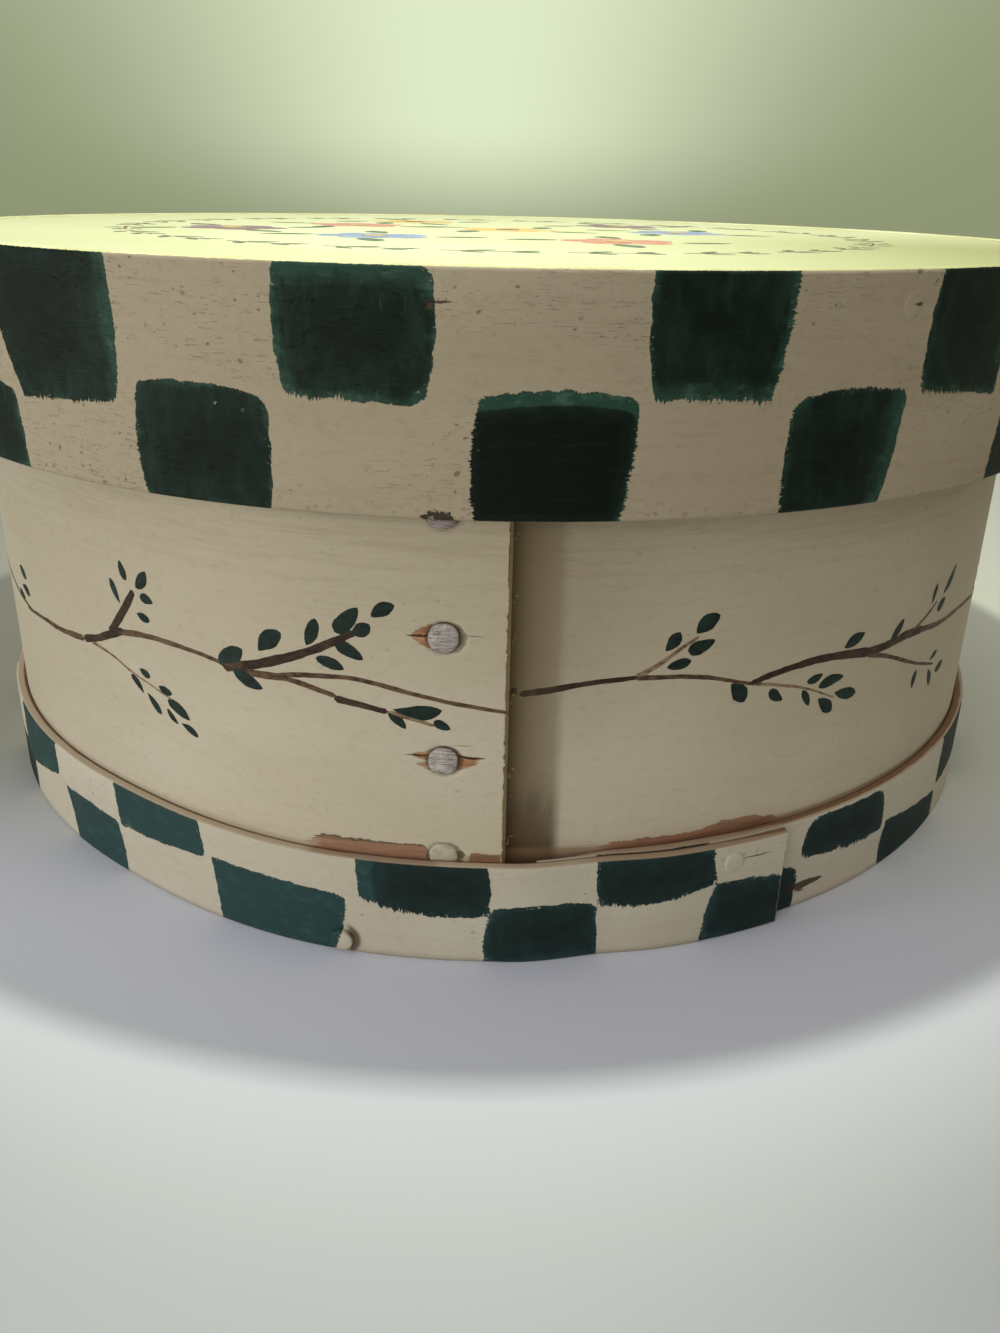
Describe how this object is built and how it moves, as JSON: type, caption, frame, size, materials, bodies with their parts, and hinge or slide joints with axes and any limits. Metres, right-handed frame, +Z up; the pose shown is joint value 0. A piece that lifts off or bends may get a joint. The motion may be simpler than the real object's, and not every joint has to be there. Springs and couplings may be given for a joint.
{
  "type": "bentwood box",
  "caption": "Round bentwood box with a lift-off lid, pegged lap joints and a foot hoop, painted cream with green checks and a leafy twig border",
  "frame": {"origin": "middle of the underside of the bottom board, on the axis of the box", "axes": "+Z up, away from the surface that the box stands on; -Y to the front, where the wall's lap ends; +X to the right as seen from the front"},
  "size_m": [0.3, 0.3047, 0.1392],
  "materials": {
    "cream_wood": "painted, worn, satin",
    "check_wood": "painted, worn, satin",
    "lid_wood": "painted, worn, satin",
    "bare_wood": "bare, aged",
    "peg_wood": "bare end grain, weathered"
  },
  "bodies": {
    "box": {"body_band": "cream_wood", "body_lap_peg_1": "peg_wood", "body_lap_peg_2": "peg_wood", "body_lap_peg_3": "peg_wood", "body_lap_peg_4": "peg_wood", "body_lap_peg_5": "peg_wood", "bottom_board": "bare_wood", "bottom_hoop": "check_wood", "bottom_peg_1": "peg_wood", "bottom_peg_10": "peg_wood", "bottom_peg_2": "peg_wood", "bottom_peg_3": "peg_wood", "bottom_peg_4": "peg_wood", "bottom_peg_5": "peg_wood", "bottom_peg_6": "peg_wood", "bottom_peg_7": "peg_wood", "bottom_peg_8": "peg_wood", "bottom_peg_9": "peg_wood", "hoop_lap_peg_1": "peg_wood"},
    "lid": {"lid_board": "lid_wood", "lid_peg_1": "peg_wood", "lid_peg_10": "peg_wood", "lid_peg_2": "peg_wood", "lid_peg_3": "peg_wood", "lid_peg_4": "peg_wood", "lid_peg_5": "peg_wood", "lid_peg_6": "peg_wood", "lid_peg_7": "peg_wood", "lid_peg_8": "peg_wood", "lid_peg_9": "peg_wood", "lid_rim_band": "check_wood", "lid_rim_lap_peg_1": "peg_wood", "lid_rim_lap_peg_2": "peg_wood"}
  },
  "joints": [
    {"name": "lid_lift", "type": "slide", "parent": "box", "child": "lid", "axis": [0, 0, 1], "range_m": [0, 0.06]}
  ]
}
